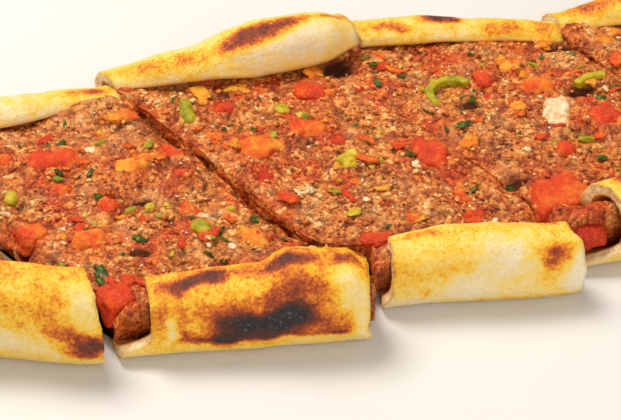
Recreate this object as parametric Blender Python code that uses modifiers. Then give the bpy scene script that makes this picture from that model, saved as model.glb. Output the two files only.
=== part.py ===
"""Minced meat pide, cut across into seven slices that still lie in the shape of the whole boat.

Each slice is one piece of bread, whose two long edges are folded up and over into rims, and one layer of
minced meat that runs through it from pocket to pocket. Chunks of tomato, strips of green pepper and a piece
of onion sit in the meat. +X runs along the boat, +Y across it to the back rim, +Z up, and the bread rests
on Z = 0.
"""

import math
import random
from collections import namedtuple

import bmesh
import bpy
from mathutils import Matrix, Vector

MM = 0.001

# Driving dimensions, in millimetres.
LENGTH = 396.0
WIDTH = 96.0
CUT_GAP = 3.4
BACK_RIM_GAP = 1.0

# The boat's outline.
TIP_HALF_WIDTH = 6.0
BOAT_POWER = 2.4
BOAT_ROUND = 0.8

# The knife's lines, from left to right: where each crosses the middle, how fast it runs right towards the
# front across the filling and across the front rim, and how far it jumps right in the front and in the back
# rim. The front rim has drawn back from it to the right by its gape, which widens towards the filling by its
# slant, down to the base, which still carries the meat there.
Cut = namedtuple("Cut", "at slope front_slope front_jump back_jump front_gape gape_slant")
CUTS = (
    Cut(-141.0, 0.52, 0.12, 3.5, 0.0, 2.0, 0.0),
    Cut(-84.5, 0.58, 0.12, 4.8, 0.0, 7.5, 0.2),
    Cut(-25.0, 0.48, -0.15, 10.4, -2.5, 1.3, 0.0),
    Cut(27.5, 0.47, 0.30, -2.2, 8.0, 10.0, -0.2),
    Cut(84.0, 0.48, 0.15, 3.5, 2.0, 3.0, 0.0),
    Cut(140.0, 0.50, 0.15, 3.5, 0.0, 1.0, 0.0),
)
FRONT_RIM_FROM = 30.0
FRONT_RIM_MIDDLE = 40.0
JUMP_FRONT = (22.0, 31.0)
JUMP_BACK = (30.0, 42.0)
GAPE_RISE = (2.0, 7.0)

# The dough.
WALL = 2.6
WALL_SHARE = 0.30
RIM_RATIO = 0.72
RIM_TOP_POWER = 2.3
RIM_BOTTOM_POWER = 2.7
RIM_STEPS = 9
LIP_LEAST = math.radians(150)
LIP_MOST = math.radians(172)
LIP_ROUND = math.radians(9)
RIM_CLOSES = 0.92
SECTIONS = 6
EDGE_ROUNDS = 12
TIP_ROUNDING = ((1.6, 0.80), (2.6, 0.45))

# The meat.
MEAT_TOP = 9.0
MEAT_RELIEF = 0.45
WAVE_ALONG = 0.21
WAVE_ACROSS = 0.26
WAVE_BEND = 0.5
WAVE_BEND_ACROSS = 0.17
WAVE_SLANT = 0.13
MEAT_CLEARANCE = 0.6
POCKET_INSET = 2.8
THIN_MEAT = 2.4
THINNEST_MEAT = 0.8
FILLED_FOLD = 0.55
FOLD_AIR = 2.6
FOLD_FILLS_FROM = 0.1
MEAT_INSET = 0.012
UNDER_FOLD = (0.0, 0.35, 0.75)
MEAT_COLUMNS = 7
MEAT_ROWS = 6
MEAT_TIP_SHARE = 0.62

# The pieces in the meat: they stand on a little of it, and their tops show.
BED = 5.2
TOMATO_TOP = 11.8
PEPPER_TOP = 11.0
CHUNK_TAPER = 0.16
CHUNK_UNEVEN = 0.08
CHUNK_BEVEL = 1.1
STRIP_THICK = 2.2
STRIP_STEPS = 6
SHALLOW_BEND = 90
SEED = 11
SCATTER_TRIES = 400
LIP_CLEARANCE = 2.2
CUT_CLEARANCE = 3.0
PIECE_SPACING = 11.0
STREWN_LENGTH = (6, 10)
STREWN_DEPTH = (5, 8)
STREWN_TURN = (-30, 30)

# Where the middle of the sprung slices would lie, across the boat, if they weren't moved to the origin.
MIDDLE_Y = -1.9

# Touching pieces keep this gap.
TOUCH_GAP = 0.35
SHARP = math.radians(40)

# How each slice was folded, as (share of the slice from its left cut, millimetres): the heights of its front
# and back rims, and how far each stands outside the boat's outline.
Slice = namedtuple("Slice", "front back front_out back_out")
LEVEL = ((0, 0), (1, 0))
CUT_SLICES = (
    Slice(((0, 11), (0.5, 16), (1, 19)), ((0, 11), (0.5, 14), (1, 14)), LEVEL, LEVEL),
    Slice(((0, 19), (0.5, 22), (1, 22)), ((0, 14), (0.4, 17), (1, 12)), ((0, 0), (0.5, -3), (1, 3)), LEVEL),
    Slice(
        ((0, 17), (0.5, 18.5), (0.65, 21.6), (0.9, 20.6), (1, 18)),
        ((0, 13), (0.5, 14), (0.8, 11), (1, 10)),
        ((0, 1), (1, 6)),
        ((0, -3), (0.5, -6), (0.8, -4.5), (1, -5)),
    ),
    Slice(
        ((0, 16), (0.5, 18), (1, 17)),
        ((0, 11), (0.3, 16.2), (0.65, 20.4), (0.87, 19.4), (1, 16.3)),
        ((0, -3), (1, 3)),
        ((0, 0), (0.3, -2.4), (0.65, 0.5), (1, 2.3)),
    ),
    Slice(
        ((0, 19), (0.5, 19), (1, 18)),
        ((0, 13), (0.35, 14), (0.7, 12), (1, 11)),
        ((0, -4), (1, 0)),
        ((0, 2.3), (0.35, 0.3), (0.65, -1.5), (1, -4.5)),
    ),
    Slice(((0, 18), (0.5, 19), (1, 17)), ((0, 10), (0.4, 16), (1, 15)), ((0, -1), (1, 0)), LEVEL),
    Slice(((0, 17), (0.5, 15), (1, 11)), ((0, 15), (0.5, 14), (1, 11)), LEVEL, LEVEL),
)
SLICES = len(CUT_SLICES)

# Pieces in the three middle slices: (slice, kind, x, y, length, depth, turn in degrees). A strip bends through
# its bend, in degrees, and a piece without a bend is a chunk.
Piece = namedtuple("Piece", "slice kind x y length depth turn bend", defaults=(0,))
PLACED = (
    Piece(3, "tomato", -56.8, -35, 8.4, 9, 4),
    Piece(3, "tomato", -72, -10, 7, 6.5, 10),
    Piece(3, "tomato", -64, 15, 12.5, 7, -5),
    Piece(3, "tomato", -54, -4, 5, 6, 30),
    Piece(3, "tomato", -60, -15.5, 7, 6, -20),
    Piece(3, "tomato", -46.5, 8, 10.5, 6.5, 8),
    Piece(3, "tomato", -75, 17, 5, 5, 0),
    Piece(3, "tomato", -36, 2.5, 5, 4.5, 15),
    Piece(3, "pepper", -35, -17.5, 4.5, 8, 15),
    Piece(3, "pepper", -75, 3, 4, 6, -10),
    Piece(4, "tomato", -16.5, 8, 12.5, 9, 15),
    Piece(4, "tomato", -3.5, 12.5, 10.5, 7.5, -10),
    Piece(4, "tomato", -18, -2, 5, 7.5, 20),
    Piece(4, "tomato", -22, 24, 6, 5, 10),
    Piece(4, "tomato", 0, 26.5, 9, 7, -15),
    Piece(4, "tomato", 22, -3.5, 10, 10.5, -25),
    Piece(4, "tomato", 25, -27, 6, 4.5, 5),
    Piece(4, "pepper", -30, 25, 4, 11, -5),
    Piece(4, "pepper", 3, -1, 6.5, 6, 20),
    Piece(5, "tomato", 42, 21.5, 5.5, 8.5, -8),
    Piece(5, "tomato", 49, 25, 5, 5.5, 0),
    Piece(5, "tomato", 54, 15.5, 9, 5.5, -10),
    Piece(5, "tomato", 46.5, 9, 5, 5, 20),
    Piece(5, "tomato", 46.4, -23.3, 14.5, 13, 8),
    Piece(5, "tomato", 53, -9, 4.5, 5, 0),
    Piece(5, "tomato", 65.5, 0.8, 8.5, 9, 10),
    Piece(5, "tomato", 48.4, -36.6, 7, 8, 5),
    Piece(5, "pepper", 31.5, 19, 11, 9, 35, 190),
    Piece(5, "pepper", 67, 15, 9, 5, 15, 60),
    Piece(5, "onion", 55.2, 4.8, 7.4, 13, -15),
)
# Pieces strewn over the others: (slice, tomatoes, peppers).
STREWN = ((1, 2, 1), (2, 4, 1), (6, 4, 1), (7, 2, 1))

BREAD_COLOUR = (0.86, 0.62, 0.30)
MEAT_COLOUR = (0.47, 0.20, 0.09)
PIECE_COLOURS = {"tomato": (0.70, 0.09, 0.03), "pepper": (0.30, 0.34, 0.04), "onion": (0.85, 0.72, 0.50)}
BREAD_ROUGHNESS = 0.6
MEAT_ROUGHNESS = 0.45
PIECE_ROUGHNESS = 0.3


def half_width(x):
    """The boat's half width at x."""
    share = min(1.0, abs(x) / (LENGTH / 2))
    return TIP_HALF_WIDTH + (WIDTH / 2 - TIP_HALF_WIDTH) * (1 - share**BOAT_POWER) ** BOAT_ROUND


def ease(t):
    """0 to 1 with a soft start and end."""
    t = min(1.0, max(0.0, t))
    return t * t * (3 - 2 * t)


def smooth_between(knots, share):
    """The value at share of a curve that eases from knot to knot."""
    for (start, low), (end, high) in zip(knots, knots[1:]):
        if share <= end:
            return low + (high - low) * ease((share - start) / (end - start))
    return knots[-1][1]


def ease_between(span, value):
    """0 below a span of values, 1 above it, with a soft change."""
    return ease((value - span[0]) / (span[1] - span[0]))


def half_gap(y):
    """How far each side of a cut stands from its middle: the back rims stay close together."""
    return (CUT_GAP + (BACK_RIM_GAP - CUT_GAP) * ease_between(JUMP_BACK, y)) / 2


def knife_line(cut, y):
    """x of a cut's middle at y."""
    filling_y = max(y, -FRONT_RIM_FROM)
    jumps = cut.front_jump * ease_between(JUMP_FRONT, -y) + cut.back_jump * ease_between(JUMP_BACK, y)
    return cut.at - cut.slope * filling_y - cut.front_slope * (y - filling_y) + jumps


def cut_x(number, share, y, z=0.0):
    """x, at y and z, of the upright surface across the boat at a share of a slice's length."""
    left, right = -LENGTH / 2, LENGTH / 2
    if number > 0:
        cut = CUTS[number - 1]
        gape = cut.front_gape + cut.gape_slant * (y + FRONT_RIM_MIDDLE)
        gape = gape * ease_between(JUMP_FRONT, -y) * ease_between(GAPE_RISE, z)
        left = knife_line(cut, y) + half_gap(y) + gape
    if number < SLICES - 1:
        right = knife_line(CUTS[number], y) - half_gap(y)
    return left + (right - left) * share


def edges(number, share):
    """The y of the front and of the back edge of a slice, on a line across it."""
    cut = CUT_SLICES[number]
    front_out = smooth_between(cut.front_out, share)
    back_out = smooth_between(cut.back_out, share)
    front, back = -WIDTH / 2, WIDTH / 2
    for _ in range(EDGE_ROUNDS):
        front = -half_width(cut_x(number, share, front)) - front_out
        back = half_width(cut_x(number, share, back)) + back_out
    return front, back


def oval_point(width, height, wall, angle):
    """A point (inward, up) on a rim's rounded outline, wall deep under its skin."""
    across, up = math.cos(angle), math.sin(angle)
    power = 2 / (RIM_BOTTOM_POWER if up < 0 else RIM_TOP_POWER)
    return (
        width / 2 - math.copysign(abs(across) ** power, across) * (width / 2 - wall),
        height / 2 + math.copysign(abs(up) ** power, up) * (height / 2 - wall),
    )


def lip_angle(height, wall):
    """Where the fold ends: it comes down to the meat if the rim is tall enough."""
    reach = (MEAT_TOP + 2 * MEAT_CLEARANCE + wall / 3 - height / 2) / (height / 2 - wall)
    bounded = min(1.0, max(0.0, reach))
    return min(LIP_MOST, max(LIP_LEAST, math.pi - math.asin(bounded ** (RIM_TOP_POWER / 2))))


def rim_size(height, room):
    """(width, wall) of a rim of that height, in a boat with that half width."""
    width = min(RIM_RATIO * height, RIM_CLOSES * room)
    return width, min(WALL, WALL_SHARE * width)


def rim_outline(height, room):
    """Points (inward, up) of one folded rim: its skin from the bottom up and over, its lip, and its lining."""
    width, wall = rim_size(height, room)
    end = lip_angle(height, wall)
    start = -math.pi / 2
    angles = [start + (end - start) * n / RIM_STEPS for n in range(RIM_STEPS + 1)]
    skin = [oval_point(width, height, 0.0, angle) for angle in angles]
    lining = [oval_point(width, height, wall, angle) for angle in angles]
    return skin, oval_point(width, height, wall / 2, end + LIP_ROUND), lining


def pocket_span(inward, height, room):
    """(floor, ceiling) of the pocket inside a rim, over a point that far in from the rim's outside."""
    width, wall = rim_size(height, room)
    offset = min(1.0, abs(inward - width / 2) / (width / 2 - wall))
    reach = height / 2 - wall
    floor = height / 2 - reach * (1 - offset**RIM_BOTTOM_POWER) ** (1 / RIM_BOTTOM_POWER)
    ceiling = height / 2 + reach * (1 - offset**RIM_TOP_POWER) ** (1 / RIM_TOP_POWER)
    return floor, ceiling


def bread_section(number, share):
    """The closed outline of the bread on one line across a slice, in metres."""
    cut = CUT_SLICES[number]
    front, back = edges(number, share)
    room = (back - front) / 2
    front_skin, front_lip, front_lining = rim_outline(smooth_between(cut.front, share), room)
    back_skin, back_lip, back_lining = rim_outline(smooth_between(cut.back, share), room)
    middle = (front + back) / 2
    outline = [(front + inward, up) for inward, up in [front_lip] + front_skin[::-1]]
    outline.append((middle, 0.0))
    outline += [(back - inward, up) for inward, up in back_skin + [back_lip] + back_lining[::-1]]
    outline.append((middle, front_lining[0][1]))
    outline += [(front + inward, up) for inward, up in front_lining]
    return [Vector((cut_x(number, share, y, z), y, z)) * MM for y, z in outline]


def cap_faces(row, has_lips):
    """Faces that close the end of a loft: quads between its two skins, and a triangle at each lip."""
    count = len(row)
    if has_lips:
        pairs = [(row[n], row[count - n]) for n in range(1, count // 2)]
        yield row[0], row[1], row[-1]
        yield row[count // 2 - 1], row[count // 2], row[count // 2 + 1]
    else:
        pairs = [(row[n], row[count - 1 - n]) for n in range(count // 2)]
    for (a, b), (c, d) in zip(pairs, pairs[1:]):
        yield a, c, d, b


def make_object(name, mesh, material, collection):
    """An object from a bmesh, smooth except at its sharp edges, and moved so that the pide is centred."""
    mesh.transform(Matrix.Translation((0, -MIDDLE_Y * MM, 0)))
    bmesh.ops.recalc_face_normals(mesh, faces=mesh.faces[:])
    data = bpy.data.meshes.new(name)
    mesh.to_mesh(data)
    mesh.free()
    data.materials.append(material)
    data.shade_smooth()
    data.set_sharp_from_angle(angle=SHARP)
    piece = bpy.data.objects.new(name, data)
    collection.objects.link(piece)
    return piece


def loft(name, rings, has_lips, material, collection):
    """A closed solid skinned over rings of points that all have the same count."""
    mesh = bmesh.new()
    rows = [[mesh.verts.new(p) for p in ring] for ring in rings]
    for low, high in zip(rows, rows[1:]):
        for n in range(len(low)):
            m = (n + 1) % len(low)
            mesh.faces.new((low[n], low[m], high[m], high[n]))
    for row in (rows[0], rows[-1]):
        for face in cap_faces(row, has_lips):
            mesh.faces.new(face)
    return make_object(name, mesh, material, collection)


def rounded_tip(ring, direction):
    """Smaller and smaller rings that round off the pinched end of the boat."""
    middle = sum(ring, Vector()) / len(ring)
    return [
        [middle + (p - middle) * scale + Vector((direction * step * MM, 0, 0)) for p in ring]
        for step, scale in TIP_ROUNDING
    ]


def make_bread(number, material, collection):
    rings = [bread_section(number, n / (SECTIONS - 1)) for n in range(SECTIONS)]
    if number == 0:
        rings = rounded_tip(rings[0], -1)[::-1] + rings
    if number == SLICES - 1:
        rings += rounded_tip(rings[-1], 1)
    return loft(f"slice_{number + 1}_bread", rings, True, material, collection)


def meat_relief(x, y):
    """The gentle unevenness of the top of the meat."""
    along = math.sin(WAVE_ALONG * x + WAVE_BEND * math.sin(WAVE_BEND_ACROSS * y))
    across = math.sin(WAVE_ACROSS * y + WAVE_SLANT * x)
    return MEAT_RELIEF * (along + across) / 2


def meat_reach(height, room):
    """How far in from a rim's outside the meat starts: in the pocket, if the fold leaves room for it."""
    width, wall = rim_size(height, room)
    ceiling = height - wall - 2 * MEAT_CLEARANCE
    return wall + POCKET_INSET if ceiling > WALL + THIN_MEAT else width - POCKET_INSET


def meat_section(number, share):
    """The closed outline of the meat on one line across a slice, in metres. It fills the folds past their ends."""
    cut = CUT_SLICES[number]
    fold_filled = share > FOLD_FILLS_FROM
    front, back = edges(number, share)
    room = (back - front) / 2
    heights = (smooth_between(cut.front, share), smooth_between(cut.back, share))
    widths = [rim_size(height, room)[0] for height in heights]
    starts = [meat_reach(height, room) for height in heights]
    past_lips = [width + 2 * MEAT_CLEARANCE for width in widths]
    inner = (front + past_lips[0], back - past_lips[1])
    across = [front + starts[0] + (past_lips[0] - starts[0]) * t for t in UNDER_FOLD]
    across += [inner[0] + (inner[1] - inner[0]) * n / (MEAT_COLUMNS - 1) for n in range(MEAT_COLUMNS)]
    across += [back - starts[1] - (past_lips[1] - starts[1]) * t for t in reversed(UNDER_FOLD)]
    top, bottom = [], []
    for y in across:
        x = cut_x(number, share, y)
        low, high = WALL + TOUCH_GAP, MEAT_TOP + meat_relief(x, y)
        for inward, height, width in ((y - front, heights[0], widths[0]), (back - y, heights[1], widths[1])):
            if inward < width + MEAT_CLEARANCE:
                floor, ceiling = pocket_span(inward, height, room)
                high = min(high, ceiling - 2 * MEAT_CLEARANCE)
                if fold_filled and inward < width * FILLED_FOLD:
                    high = ceiling - FOLD_AIR
                if inward < width / 2:
                    low = max(low, floor + MEAT_CLEARANCE)
        top.append(Vector((x, y, max(high, low + THINNEST_MEAT))) * MM)
        bottom.append(Vector((x, y, low)) * MM)
    return top + bottom[::-1]


def make_meat(number, material, collection):
    first = MEAT_INSET if number else 1 - MEAT_TIP_SHARE
    last = 1 - MEAT_INSET if number < SLICES - 1 else MEAT_TIP_SHARE
    shares = [first + (last - first) * n / (MEAT_ROWS - 1) for n in range(MEAT_ROWS)]
    rings = [meat_section(number, share) for share in shares]
    return loft(f"slice_{number + 1}_meat", rings, False, material, collection)


def chunk_mesh(piece, rng, grow):
    """A tapered, uneven block. grow is how much larger than the piece it is on every side."""
    mesh = bmesh.new()
    bmesh.ops.create_cube(mesh, size=1.0)
    middle = (BED + TOMATO_TOP) / 2
    size = Vector((piece.length, piece.depth, TOMATO_TOP - BED))
    for corner in mesh.verts:
        side = Vector([math.copysign(1, c) for c in corner.co])
        taper = 1 - CHUNK_TAPER * (side.z + 1) / 2
        uneven = Vector([1 + rng.uniform(-CHUNK_UNEVEN, CHUNK_UNEVEN) for _ in range(3)])
        reach = size * 0.5 * uneven
        corner.co = Vector((side.x * reach.x * taper, side.y * reach.y * taper, side.z * reach.z)) + side * grow
    place = Matrix.Translation((piece.x, piece.y, middle)) @ Matrix.Rotation(math.radians(piece.turn), 4, "Z")
    mesh.transform(Matrix.Scale(MM, 4) @ place)
    return mesh


def strip_mesh(piece, grow):
    """An upright strip that is bent round its middle. grow is how much larger than the piece it is."""
    mesh = bmesh.new()
    bend = math.radians(piece.bend)
    radius = piece.length / bend if piece.bend < SHALLOW_BEND else piece.length / 2
    over = grow / radius
    rows = []
    for n in range(STRIP_STEPS + 1):
        angle = -bend / 2 - over + (bend + 2 * over) * n / STRIP_STEPS
        out = Vector((math.sin(angle), math.cos(angle), 0))
        near, far = radius - STRIP_THICK / 2 - grow, radius + STRIP_THICK / 2 + grow
        low, high = Vector((0, 0, BED - grow)), Vector((0, 0, PEPPER_TOP + grow))
        ring = (out * near + low, out * far + low, out * far + high, out * near + high)
        rows.append([mesh.verts.new(p) for p in ring])
    for low, high in zip(rows, rows[1:]):
        for n in range(4):
            mesh.faces.new((low[n], low[n - 1], high[n - 1], high[n]))
    mesh.faces.new(rows[0])
    mesh.faces.new(rows[-1][::-1])
    place = Matrix.Translation((piece.x, piece.y, 0)) @ Matrix.Rotation(math.radians(piece.turn), 4, "Z")
    centred = Matrix.Translation((0, -radius * (1 + math.cos(bend / 2)) / 2, 0))
    mesh.transform(Matrix.Scale(MM, 4) @ place @ centred)
    return mesh


def make_piece(name, piece, seed, material, collection, cutters):
    """A piece of topping, and the cutter for its bed in the meat."""
    if piece.bend:
        solid, bed = strip_mesh(piece, 0.0), strip_mesh(piece, TOUCH_GAP)
    else:
        solid = chunk_mesh(piece, random.Random(seed), 0.0)
        bed = chunk_mesh(piece, random.Random(seed), TOUCH_GAP)
    made = make_object(name, solid, material, collection)
    if not piece.bend:
        bevel = made.modifiers.new("rounded_edges", "BEVEL")
        bevel.width = CHUNK_BEVEL * MM
        bevel.segments = 1
    cutter = make_object(name + "_bed", bed, material, cutters)
    cutter.hide_render = True
    cutter.display_type = "WIRE"


def strew(number, kinds, rng):
    """Pieces at random places in a slice, clear of its rims, its cuts and each other."""
    placed = []
    for _ in range(SCATTER_TRIES):
        if len(placed) == len(kinds):
            break
        share = rng.random()
        front, back = edges(number, share)
        cut = CUT_SLICES[number]
        room = (back - front) / 2
        near = front + rim_size(smooth_between(cut.front, share), room)[0] + LIP_CLEARANCE
        far = back - rim_size(smooth_between(cut.back, share), room)[0] - LIP_CLEARANCE
        length, depth = rng.uniform(*STREWN_LENGTH), rng.uniform(*STREWN_DEPTH)
        if far - near < depth:
            continue
        y = rng.uniform(near + depth / 2, far - depth / 2)
        left, right = cut_x(number, 0, y), cut_x(number, 1, y)
        if number == 0:
            left += (right - left) * (1 - MEAT_TIP_SHARE)
        if number == SLICES - 1:
            right -= (right - left) * (1 - MEAT_TIP_SHARE)
        x = cut_x(number, share, y)
        if not left + CUT_CLEARANCE + length / 2 < x < right - CUT_CLEARANCE - length / 2:
            continue
        if any(math.dist((x, y), (other.x, other.y)) < PIECE_SPACING for other in placed):
            continue
        kind = kinds[len(placed)]
        placed.append(Piece(number + 1, kind, x, y, length, depth, rng.uniform(*STREWN_TURN)))
    return placed


def make_toppings(collection, cutters):
    rng = random.Random(SEED)
    pieces = list(PLACED)
    for slice_number, tomatoes, peppers in STREWN:
        pieces += strew(slice_number - 1, ["tomato"] * tomatoes + ["pepper"] * peppers, rng)
    materials = {kind: make_material(kind, colour, PIECE_ROUGHNESS) for kind, colour in PIECE_COLOURS.items()}
    beds = {number: make_collection(f"slice_{number}_beds", shown=False) for number in range(1, SLICES + 1)}
    counts = {}
    for seed, piece in enumerate(pieces):
        label = f"slice_{piece.slice}_{piece.kind}"
        counts[label] = counts.get(label, 0) + 1
        name = f"{label}_{counts[label]}"
        make_piece(name, piece, seed, materials[piece.kind], collection, beds[piece.slice])
    for number, bed in beds.items():
        cutters.children.link(bed)
        bpy.context.scene.collection.children.unlink(bed)
        cut = bpy.data.objects[f"slice_{number}_meat"].modifiers.new("beds", "BOOLEAN")
        cut.operation = "DIFFERENCE"
        cut.operand_type = "COLLECTION"
        cut.collection = bed
        cut.solver = "EXACT"


def make_material(name, colour, roughness):
    material = bpy.data.materials.new(name)
    material.use_nodes = True
    shader = material.node_tree.nodes["Principled BSDF"]
    shader.inputs["Base Color"].default_value = (*colour, 1.0)
    shader.inputs["Roughness"].default_value = roughness
    shader.inputs["Metallic"].default_value = 0.0
    return material


def make_collection(name, shown=True):
    collection = bpy.data.collections.new(name)
    collection.hide_render = not shown
    bpy.context.scene.collection.children.link(collection)
    return collection


def main():
    for old in list(bpy.data.objects):
        bpy.data.objects.remove(old)
    pide = make_collection("minced_meat_pide")
    bread = make_material("bread", BREAD_COLOUR, BREAD_ROUGHNESS)
    meat = make_material("meat", MEAT_COLOUR, MEAT_ROUGHNESS)
    for number in range(SLICES):
        make_bread(number, bread, pide)
        make_meat(number, meat, pide)
    make_toppings(pide, make_collection("cutters", shown=False))


main()
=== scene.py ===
"""The looks of the minced meat pide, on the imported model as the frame.

Lengths are in millimetres, in the plan that the bread was modelled in. MIDDLE_Y moves that plan into the
frame, and MM turns it into metres.
"""

import math
import random
from collections import namedtuple

import bmesh
import bpy
import numpy as np
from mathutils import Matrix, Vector


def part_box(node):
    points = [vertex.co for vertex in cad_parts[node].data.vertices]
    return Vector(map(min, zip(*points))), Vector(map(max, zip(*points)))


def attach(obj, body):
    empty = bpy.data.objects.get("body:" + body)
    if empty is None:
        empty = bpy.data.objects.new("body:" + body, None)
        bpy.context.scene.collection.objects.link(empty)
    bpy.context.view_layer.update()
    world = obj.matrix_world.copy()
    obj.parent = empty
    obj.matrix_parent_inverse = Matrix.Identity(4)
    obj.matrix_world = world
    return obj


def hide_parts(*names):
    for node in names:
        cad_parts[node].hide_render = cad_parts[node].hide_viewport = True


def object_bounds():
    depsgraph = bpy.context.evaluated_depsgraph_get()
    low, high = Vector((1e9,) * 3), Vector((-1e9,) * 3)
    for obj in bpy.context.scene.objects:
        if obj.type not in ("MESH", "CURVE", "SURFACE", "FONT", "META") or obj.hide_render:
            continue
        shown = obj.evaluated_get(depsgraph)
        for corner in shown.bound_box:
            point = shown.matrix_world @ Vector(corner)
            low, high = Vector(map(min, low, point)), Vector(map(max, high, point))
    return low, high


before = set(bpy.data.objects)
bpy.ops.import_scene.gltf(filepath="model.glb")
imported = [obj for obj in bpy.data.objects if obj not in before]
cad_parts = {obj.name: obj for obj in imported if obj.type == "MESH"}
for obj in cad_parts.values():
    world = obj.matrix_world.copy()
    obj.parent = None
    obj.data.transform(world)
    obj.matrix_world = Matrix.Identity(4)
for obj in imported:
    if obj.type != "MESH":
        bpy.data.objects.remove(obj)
cad_low, cad_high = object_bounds()

MM = 0.001
MIDDLE_Y = -1.9
BODY = "root"

# The bread's own dimensions, as it was modelled. A cut is where the knife crosses the middle, how it slopes,
# how far it jumps in both rims, and how the front rim gapes. A slice is the heights of its front and back rim
# and how far each stands outside the boat's outline, as (share of the slice from its left cut, millimetres).
LENGTH = 396.0
WIDTH = 96.0
CUT_GAP = 3.4
BACK_RIM_GAP = 1.0
TIP_HALF_WIDTH = 6.0
BOAT_POWER = 2.4
BOAT_ROUND = 0.8
Cut = namedtuple("Cut", "at slope front_slope front_jump back_jump front_gape gape_slant")
CUTS = (
    Cut(-141.0, 0.52, 0.12, 3.5, 0.0, 2.0, 0.0),
    Cut(-84.5, 0.58, 0.12, 4.8, 0.0, 7.5, 0.2),
    Cut(-25.0, 0.48, -0.15, 10.4, -2.5, 1.3, 0.0),
    Cut(27.5, 0.47, 0.30, -2.2, 8.0, 10.0, -0.2),
    Cut(84.0, 0.48, 0.15, 3.5, 2.0, 3.0, 0.0),
    Cut(140.0, 0.50, 0.15, 3.5, 0.0, 1.0, 0.0),
)
FRONT_RIM_FROM = 30.0
FRONT_RIM_MIDDLE = 40.0
JUMP_FRONT = (22.0, 31.0)
JUMP_BACK = (30.0, 42.0)
GAPE_RISE = (2.0, 7.0)
WALL = 2.6
WALL_SHARE = 0.30
RIM_RATIO = 0.72
RIM_TOP_POWER = 2.3
RIM_BOTTOM_POWER = 2.7
LIP_LEAST = math.radians(150)
LIP_MOST = math.radians(172)
LIP_ROUND = math.radians(9)
RIM_CLOSES = 0.92
MEAT_TOP = 9.0
MEAT_RELIEF = 0.45
WAVE_ALONG = 0.21
WAVE_ACROSS = 0.26
WAVE_BEND = 0.5
WAVE_BEND_ACROSS = 0.17
WAVE_SLANT = 0.13
MEAT_CLEARANCE = 0.6
POCKET_INSET = 2.8
THIN_MEAT = 2.4
FILLED_FOLD = 0.55
MEAT_INSET = 0.012
MEAT_TIP_SHARE = 0.62
Slice = namedtuple("Slice", "front back front_out back_out")
LEVEL = ((0, 0), (1, 0))
CUT_SLICES = (
    Slice(((0, 11), (0.5, 16), (1, 19)), ((0, 11), (0.5, 14), (1, 14)), LEVEL, LEVEL),
    Slice(((0, 19), (0.5, 22), (1, 22)), ((0, 14), (0.4, 17), (1, 12)), ((0, 0), (0.5, -3), (1, 3)), LEVEL),
    Slice(
        ((0, 17), (0.5, 18.5), (0.65, 21.6), (0.9, 20.6), (1, 18)),
        ((0, 13), (0.5, 14), (0.8, 11), (1, 10)),
        ((0, 1), (1, 6)),
        ((0, -3), (0.5, -6), (0.8, -4.5), (1, -5)),
    ),
    Slice(
        ((0, 16), (0.5, 18), (1, 17)),
        ((0, 11), (0.3, 16.2), (0.65, 20.4), (0.87, 19.4), (1, 16.3)),
        ((0, -3), (1, 3)),
        ((0, 0), (0.3, -2.4), (0.65, 0.5), (1, 2.3)),
    ),
    Slice(
        ((0, 19), (0.5, 19), (1, 18)),
        ((0, 13), (0.35, 14), (0.7, 12), (1, 11)),
        ((0, -4), (1, 0)),
        ((0, 2.3), (0.35, 0.3), (0.65, -1.5), (1, -4.5)),
    ),
    Slice(((0, 18), (0.5, 19), (1, 17)), ((0, 10), (0.4, 16), (1, 15)), ((0, -1), (1, 0)), LEVEL),
    Slice(((0, 17), (0.5, 15), (1, 11)), ((0, 15), (0.5, 14), (1, 11)), LEVEL, LEVEL),
)
SLICES = len(CUT_SLICES)
SLICE_LENGTH = LENGTH / SLICES

# How finely the visible meshes follow those shapes.
RING_STEP = 1.25
RIM_POINTS = 70
BASE_POINTS = 12
CAP_STEPS = 5
MEAT_STEP = 0.45
MEAT_WALL_STEPS = 14
MEAT_FLOOR = 3.3
# The rounded edge of the folded dough: (share of the dough's depth, share of LIP_ROUND that it stands out).
LIP_POINTS = ((0.15, 0.7), (0.5, 1.0), (0.85, 0.7))
TIP_ROUND_LENGTH = 2.6
TIP_ROUND_ANGLE = math.radians(86)
TIP_RINGS = 8
# How far the cut ends of the crust draw back, in waves of what size, over what height and share of a slice.
TEAR_FRONT = 1.3
TEAR_BACK = 0.8
TEAR_SIZE = 3.2
TEAR_RISE = 3.0
TEAR_SHARE = 0.2

FRONT, BACK = 0, 1


# --- shapes shared with the bread's model ---


def half_width(x):
    """The boat's half width at x."""
    share = np.minimum(1.0, np.abs(x) / (LENGTH / 2))
    return TIP_HALF_WIDTH + (WIDTH / 2 - TIP_HALF_WIDTH) * (1 - share**BOAT_POWER) ** BOAT_ROUND


def ease(t):
    """0 to 1 with a soft start and end."""
    t = np.clip(t, 0.0, 1.0)
    return t * t * (3 - 2 * t)


def ease_between(span, value):
    """0 below a span of values, 1 above it, with a soft change."""
    return ease((value - span[0]) / (span[1] - span[0]))


def bell(offset):
    """1 at 0, falling softly to nothing on both sides."""
    return np.exp(-(offset**2))


def smooth_between(knots, share):
    """The values at shares of a curve that eases from knot to knot."""
    value = np.full(np.shape(share), float(knots[0][1]))
    for (start, low), (end, high) in zip(knots, knots[1:]):
        value = np.where(share > start, low + (high - low) * ease((share - start) / (end - start)), value)
    return value


def half_gap(y):
    """How far each side of a cut stands from its middle."""
    return (CUT_GAP + (BACK_RIM_GAP - CUT_GAP) * ease_between(JUMP_BACK, y)) / 2


def knife_line(cut, y):
    """x of a cut's middle at y."""
    filling_y = np.maximum(y, -FRONT_RIM_FROM)
    jumps = cut.front_jump * ease_between(JUMP_FRONT, -y) + cut.back_jump * ease_between(JUMP_BACK, y)
    return cut.at - cut.slope * filling_y - cut.front_slope * (y - filling_y) + jumps


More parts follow.
